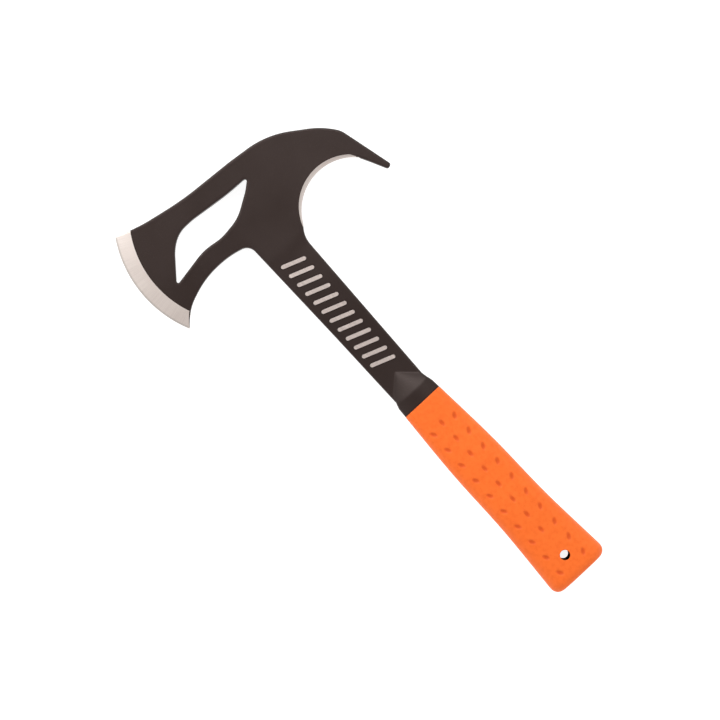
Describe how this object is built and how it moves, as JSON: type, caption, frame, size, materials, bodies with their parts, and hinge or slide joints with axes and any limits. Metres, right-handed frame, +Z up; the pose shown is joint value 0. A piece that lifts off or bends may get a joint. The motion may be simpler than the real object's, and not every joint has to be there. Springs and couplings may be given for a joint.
{
  "type": "rescue axe",
  "caption": "Compact one-piece forged steel axe with a finger window in the blade, a hooked poll and a moulded vinyl grip with a lanyard hole.",
  "frame": {"origin": "under the middle of the whole axe, on the surface it lies on", "axes": "+X along the handle from the blade to the butt, +Y from the cutting edge to the hook, +Z up through the thickness"},
  "size_m": [0.3561, 0.171, 0.024],
  "materials": {
    "coated_steel": "satin black powder coat over forged steel; the cutting edge, the throat's bevel and the tops of the ribs are ground bare",
    "bond": "thin cured adhesive film, hidden",
    "grip_vinyl": "orange moulded soft vinyl, fine satin texture",
    "sleeve": "satin black"
  },
  "bodies": {
    "root": {"forging": "coated_steel", "tang_bond": "bond", "grip": "grip_vinyl", "lanyard_sleeve": "sleeve"}
  },
  "joints": []
}
